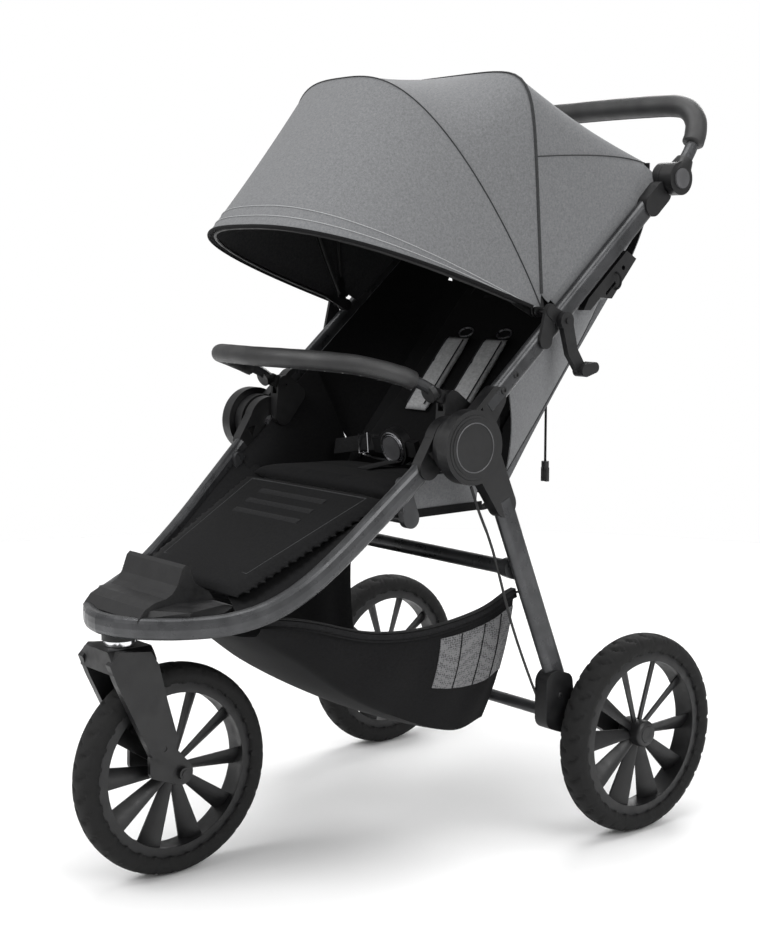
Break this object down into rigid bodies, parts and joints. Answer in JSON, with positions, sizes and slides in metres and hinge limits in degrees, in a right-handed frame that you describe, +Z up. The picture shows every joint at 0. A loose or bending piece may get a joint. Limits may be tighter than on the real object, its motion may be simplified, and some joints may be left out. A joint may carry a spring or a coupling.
{
  "type": "jogging stroller",
  "caption": "Three-wheel folding stroller with a swivel front wheel, reclining seat, stretched canopy, bumper bar, storage basket and a height-adjusting handle.",
  "frame": {"origin": "on the floor under the middle of the overall bounding box", "axes": "+X to the right-hand side as seen by someone pushing, -Y forward in the direction of travel, +Z up"},
  "size_m": [0.641, 0.9685, 1.1221],
  "materials": {
    "frame_paint": "satin charcoal powder coat",
    "black_plastic": "fine grained moulding",
    "dark_plastic": "matte",
    "steel": "turned pin",
    "chrome_ring": "bright",
    "black_cloth": "woven seat cloth",
    "mesh_cloth": "knitted mesh and cloth",
    "melange_cloth": "mid-gray melange weave",
    "pad_cloth": "light gray quilted pad",
    "webbing": "woven webbing",
    "leatherette": "stitched black leatherette",
    "tyre_rubber": "black tread rubber",
    "button_gray": "matte"
  },
  "bodies": {
    "lower_frame": {"lower_tube": "frame_paint", "lower_hinge_plates": "black_plastic", "hub_pins": "steel", "footplate": "black_plastic", "steerer_housing": "black_plastic", "steerer_ring": "chrome_ring", "seat_base": "black_cloth", "seat_support_bar": "frame_paint", "leg_rest": "black_cloth", "side_wings": "black_cloth", "basket": "mesh_cloth", "harness_straps": "webbing", "buckle": "dark_plastic", "bumper_brackets": "black_plastic"},
    "buckle_release": {"buckle_button": "button_gray"},
    "bumper": {"bumper_tube": "frame_paint", "bumper_cover": "leatherette", "bumper_joints": "black_plastic"},
    "upper_frame": {"upper_tubes": "frame_paint", "upper_hinge_plates": "black_plastic", "handle_housings": "black_plastic", "accessory_brackets": "black_plastic", "canopy_clamps": "black_plastic", "upper_cross_tube": "frame_paint", "back_curtain": "melange_cloth", "seat_gussets": "melange_cloth"},
    "backrest": {"back_shell": "melange_cloth", "back_pad": "black_cloth", "shoulder_pads": "pad_cloth", "recline_cord": "webbing", "recline_toggle": "black_plastic"},
    "handle": {"handle_tube": "frame_paint", "handle_grip": "leatherette", "handle_joints": "black_plastic"},
    "handle_release_left": {"handle_button_left": "button_gray"},
    "handle_release_right": {"handle_button_right": "button_gray"},
    "parking_brake": {"brake_lever": "black_plastic"},
    "rear_frame": {"rear_legs": "frame_paint", "hub_rings": "black_plastic", "hub_caps": "dark_plastic", "rear_cross_tubes": "frame_paint", "axle_boxes": "black_plastic", "brake_cable": "dark_plastic"},
    "panel_rear": {"canopy_rear": "melange_cloth"},
    "hood_rear": {"bow_rear": "dark_plastic"},
    "panel_mid": {"canopy_mid": "melange_cloth"},
    "hood_mid": {"bow_mid": "dark_plastic"},
    "panel_front": {"canopy_visor": "melange_cloth"},
    "hood_front": {"bow_front": "dark_plastic"},
    "suspension_left": {"arm_left": "black_plastic"},
    "suspension_right": {"arm_right": "black_plastic"},
    "rear_wheel_left": {"rear_rim_left": "black_plastic", "rear_tyre_left": "tyre_rubber"},
    "rear_wheel_right": {"rear_rim_right": "black_plastic", "rear_tyre_right": "tyre_rubber"},
    "fork": {"fork": "black_plastic"},
    "front_suspension": {"front_link": "black_plastic"},
    "front_wheel": {"front_wheel": "tyre_rubber"}
  },
  "joints": [
    {"name": "fold", "type": "hinge", "parent": "lower_frame", "child": "upper_frame", "pos_m": [0, -0.007, 0.6], "axis": [1, 0, 0], "range_deg": [0, 150]},
    {"name": "legs_fold", "type": "hinge", "parent": "lower_frame", "child": "rear_frame", "pos_m": [0, -0.007, 0.6], "axis": [1, 0, 0], "range_deg": [-40, 0], "deforming": ["basket"]},
    {"name": "bumper_fold", "type": "hinge", "parent": "lower_frame", "child": "bumper", "pos_m": [0, 0.009, 0.659], "axis": [1, 0, 0], "range_deg": [0, 30], "deforming": ["seat_gussets"]},
    {"name": "recline", "type": "hinge", "parent": "upper_frame", "child": "backrest", "pos_m": [0, 0.113, 0.536], "axis": [1, 0, 0], "range_deg": [-20, 0], "deforming": ["seat_gussets"]},
    {"name": "handle_height", "type": "hinge", "parent": "upper_frame", "child": "handle", "pos_m": [0, 0.416, 0.976], "axis": [1, 0, 0], "range_deg": [-70, 15]},
    {"name": "handle_release_left_press", "type": "slide", "parent": "handle", "child": "handle_release_left", "axis": [1, 0, 0], "range_m": [0, 0.003], "stiffness_N_per_m": 600, "springref_m": -0.002},
    {"name": "handle_release_right_press", "type": "slide", "parent": "handle", "child": "handle_release_right", "axis": [-1, 0, 0], "range_m": [0, 0.003], "stiffness_N_per_m": 600, "springref_m": -0.002},
    {"name": "brake_lever_pull", "type": "hinge", "parent": "upper_frame", "child": "parking_brake", "pos_m": [0, 0.177, 0.768], "axis": [1, 0, 0], "range_deg": [0, 35]},
    {"name": "buckle_press", "type": "slide", "parent": "lower_frame", "child": "buckle_release", "axis": [0, 0.9659, 0.2588], "range_m": [0, 0.002], "stiffness_N_per_m": 600, "springref_m": -0.002},
    {"name": "hood_stow_rear", "type": "hinge", "parent": "upper_frame", "child": "panel_rear", "pos_m": [0, 0.154, 0.782], "axis": [1, 0, 0], "range_deg": [-46, 0], "deforming": ["canopy_rear"]},
    {"name": "canopy", "type": "hinge", "parent": "panel_rear", "child": "hood_rear", "pos_m": [0, 0.154, 0.782], "axis": [1, 0, 0], "range_deg": [-42, 0], "deforming": ["canopy_rear"]},
    {"name": "hood_stow_mid", "type": "hinge", "parent": "hood_rear", "child": "panel_mid", "pos_m": [0, 0.154, 0.782], "axis": [1, 0, 0], "range_deg": [-19, 0], "deforming": ["canopy_mid"]},
    {"name": "canopy_mid_swing", "type": "hinge", "parent": "panel_mid", "child": "hood_mid", "pos_m": [0, 0.154, 0.782], "axis": [1, 0, 0], "range_deg": [-17, 0], "deforming": ["canopy_mid"]},
    {"name": "hood_stow_front", "type": "hinge", "parent": "hood_mid", "child": "panel_front", "pos_m": [0, 0.154, 0.782], "axis": [1, 0, 0], "range_deg": [-39, 0], "deforming": ["canopy_visor"]},
    {"name": "canopy_front_swing", "type": "hinge", "parent": "panel_front", "child": "hood_front", "pos_m": [0, 0.154, 0.782], "axis": [1, 0, 0], "range_deg": [-35, 0], "deforming": ["canopy_visor"]},
    {"name": "suspension_left", "type": "hinge", "parent": "rear_frame", "child": "suspension_left", "pos_m": [0, 0.173, 0.196], "axis": [1, 0, 0], "range_deg": [0, 6], "stiffness_Nm_per_rad": 60, "springref_deg": -11.46},
    {"name": "rear_wheel_left_spin", "type": "hinge", "parent": "suspension_left", "child": "rear_wheel_left", "pos_m": [-0.297, 0.302, 0.15], "axis": [1, 0, 0], "continuous": true},
    {"name": "suspension_right", "type": "hinge", "parent": "rear_frame", "child": "suspension_right", "pos_m": [0, 0.173, 0.196], "axis": [1, 0, 0], "range_deg": [0, 6], "stiffness_Nm_per_rad": 60, "springref_deg": -11.46},
    {"name": "rear_wheel_right_spin", "type": "hinge", "parent": "suspension_right", "child": "rear_wheel_right", "pos_m": [0.297, 0.302, 0.15], "axis": [1, 0, 0], "continuous": true},
    {"name": "fork_swivel", "type": "hinge", "parent": "lower_frame", "child": "fork", "pos_m": [0, -0.411, 0.36], "axis": [0, 0, 1], "continuous": true},
    {"name": "front_suspension_swing", "type": "hinge", "parent": "fork", "child": "front_suspension", "pos_m": [0, -0.369, 0.194], "axis": [1, 0, 0], "range_deg": [0, 6], "stiffness_Nm_per_rad": 60, "springref_deg": -11.46},
    {"name": "front_wheel_spin", "type": "hinge", "parent": "front_suspension", "child": "front_wheel", "pos_m": [0, -0.333, 0.15], "axis": [1, 0, 0], "continuous": true}
  ],
  "couplings": [
    {"joint": "legs_fold", "follows": "fold", "ratio": -0.26667},
    {"joint": "bumper_fold", "follows": "fold", "ratio": 0.2},
    {"joint": "hood_stow_rear", "follows": "fold", "ratio": -0.30667},
    {"joint": "hood_stow_mid", "follows": "fold", "ratio": -0.12667},
    {"joint": "hood_stow_front", "follows": "fold", "ratio": -0.26},
    {"joint": "canopy_mid_swing", "follows": "canopy", "ratio": 0.40476},
    {"joint": "canopy_front_swing", "follows": "canopy", "ratio": 0.83333}
  ]
}
